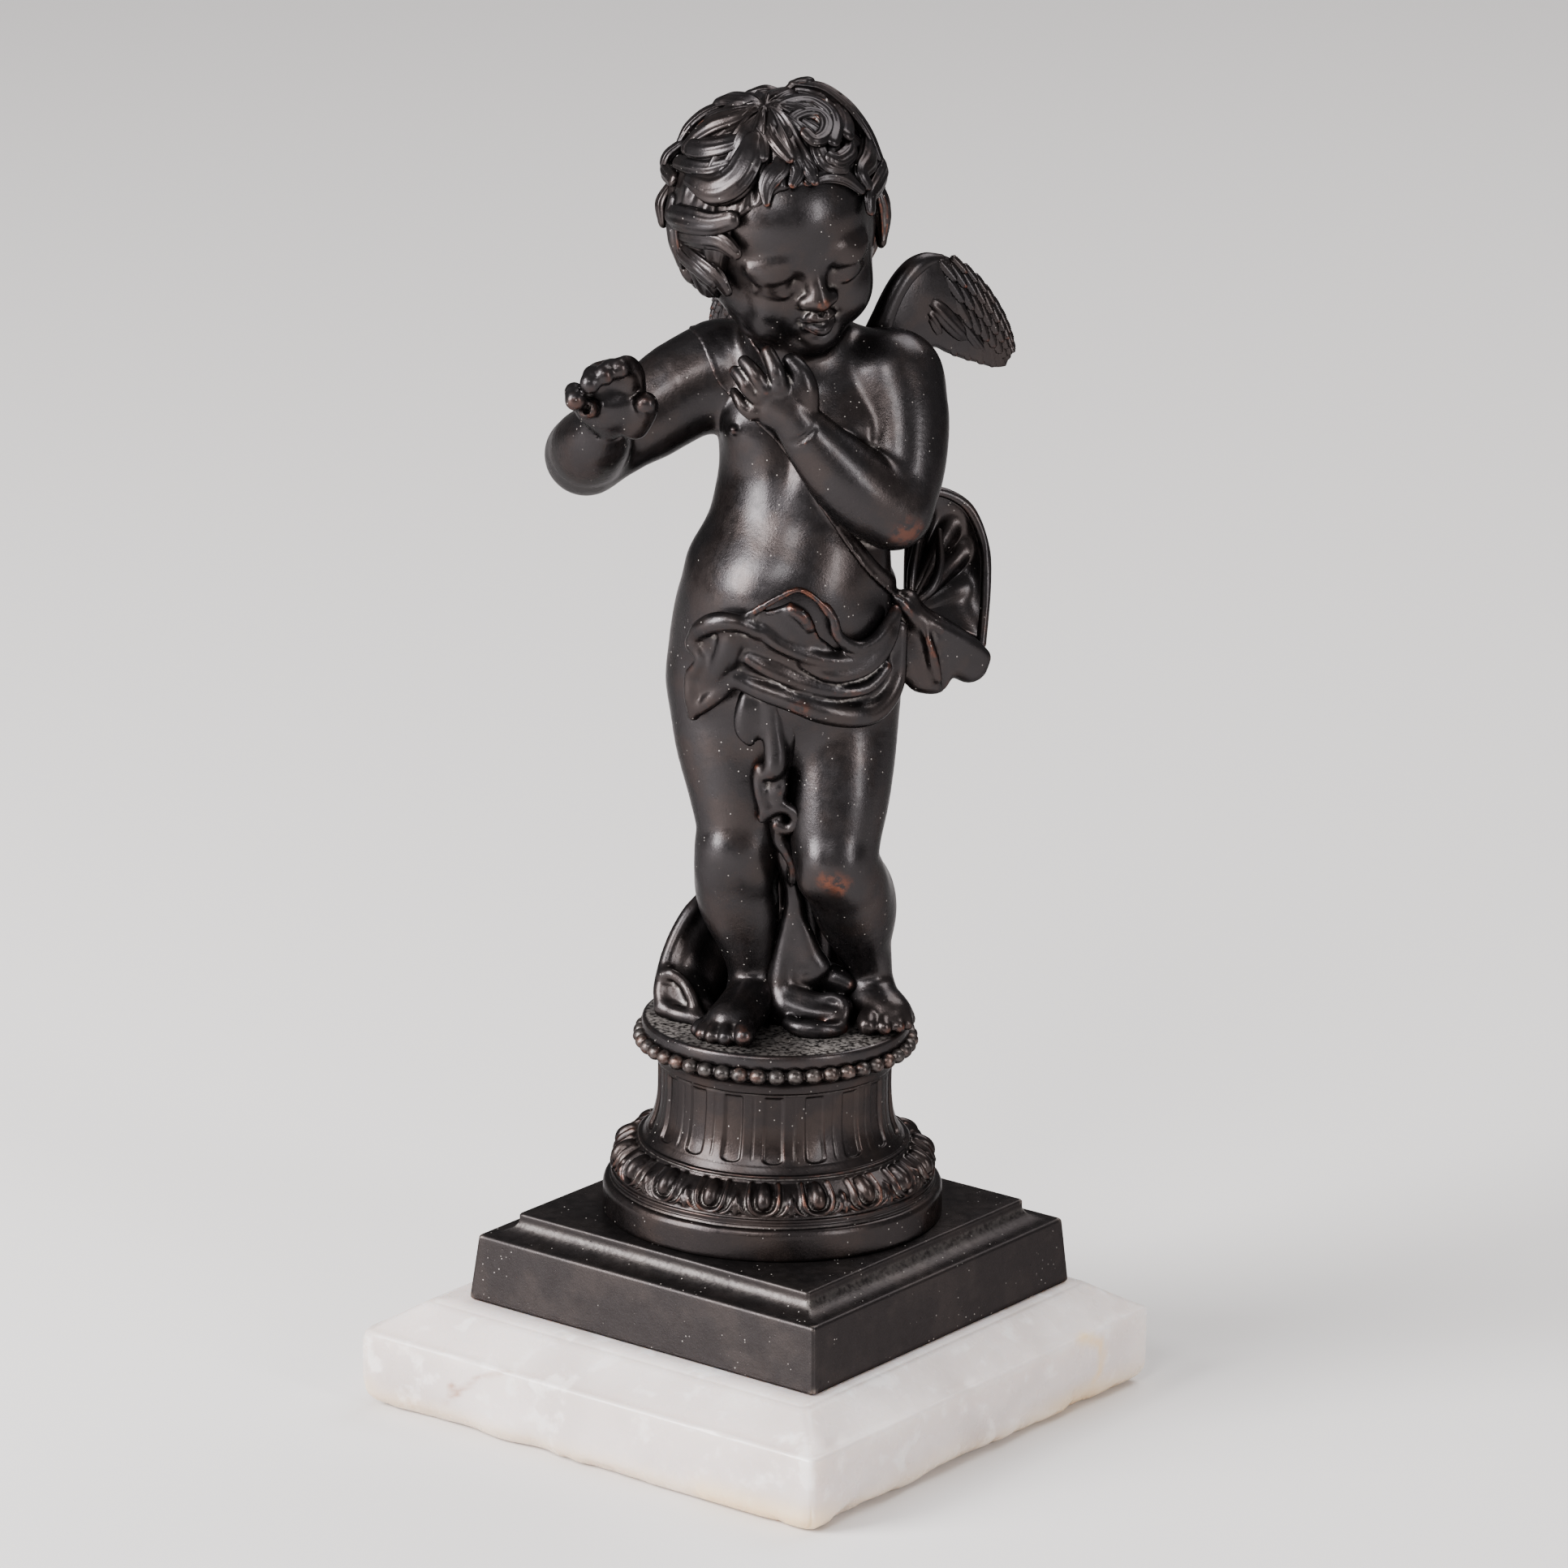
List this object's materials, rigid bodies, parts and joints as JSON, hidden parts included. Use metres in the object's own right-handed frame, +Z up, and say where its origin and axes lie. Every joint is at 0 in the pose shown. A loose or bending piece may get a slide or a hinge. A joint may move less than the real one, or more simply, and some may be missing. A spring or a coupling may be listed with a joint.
{
  "type": "cast bronze winged putto statuette on an onyx base",
  "caption": "Winged child figure in dark bronze with flowing drapery, on a beaded round socle, a stepped square plinth and a white onyx slab.",
  "frame": {"origin": "middle of the onyx slab's underside, which is the bottom centre of the bounding box", "axes": "+Z up; -Y is the slab's front face, and the figure's chest faces roughly that way; +X is the figure's left hand side"},
  "size_m": [0.1058, 0.1058, 0.25],
  "materials": {
    "dark_bronze": "cast bronze with a near black brown patina, worn to red brown on the high points",
    "grey_bronze": "cast bronze, duller grey brown patina with pale worn arrises",
    "onyx": "polished white onyx stone, cloudy, with ochre veins"
  },
  "bodies": {
    "root": {"onyx_slab": "onyx", "square_plinth": "grey_bronze", "round_socle": "dark_bronze", "putto_figure": "dark_bronze"}
  },
  "joints": []
}
